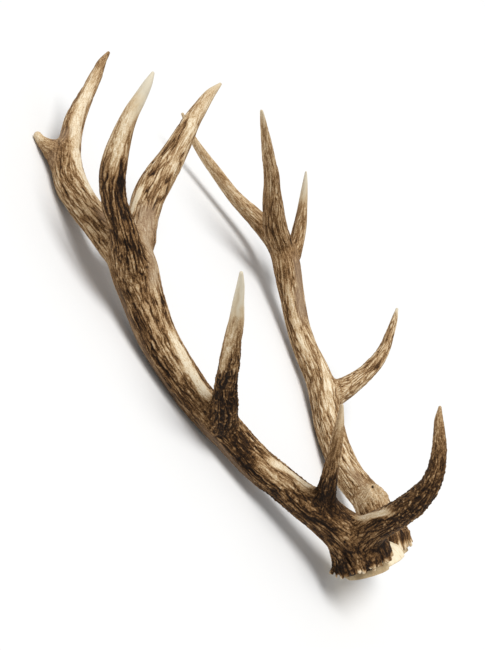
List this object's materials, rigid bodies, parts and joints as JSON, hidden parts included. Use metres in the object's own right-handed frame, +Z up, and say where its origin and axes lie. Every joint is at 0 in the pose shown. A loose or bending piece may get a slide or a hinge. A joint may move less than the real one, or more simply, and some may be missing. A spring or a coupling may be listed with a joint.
{
  "type": "red deer antlers on skull plate",
  "caption": "Pair of weathered red deer antlers still joined by their sawn skull plate, lying on its back with the ivory-tipped tines curving up.",
  "frame": {"origin": "under the middle of the pair, on the surface that it rests on", "axes": "+Z up; +X along the pair from the crowns to the sawn skull plate, the longest side; +Y across, towards the deer's left antler"},
  "size_m": [0.7287, 0.6381, 0.2472],
  "materials": {
    "antler_beam": "weathered brown antler bark with dark lengthwise grooves, tan ridges and fine pearling",
    "antler_tine": "dark pearled bases rubbed smooth to ivory tips, satin",
    "broken_antler": "rough yellowish broken antler core",
    "skull_bone": "dry cream bone, sawn spongy underneath"
  },
  "bodies": {
    "root": {"skull_plate": "skull_bone", "right_beam": "antler_beam", "right_brow_tine": "antler_tine", "right_bez_tine": "antler_tine", "right_trez_tine": "antler_tine", "right_crown_rear_tine": "antler_tine", "right_crown_spur": "antler_tine", "right_crown_front_tine": "antler_tine", "right_crown_outer_tine": "antler_tine", "left_beam": "antler_beam", "left_brow_stump": "broken_antler", "left_trez_tine": "antler_tine", "left_crown_rear_tine": "antler_tine", "left_crown_front_tine": "antler_tine", "left_crown_outer_tine": "antler_tine"}
  },
  "joints": []
}
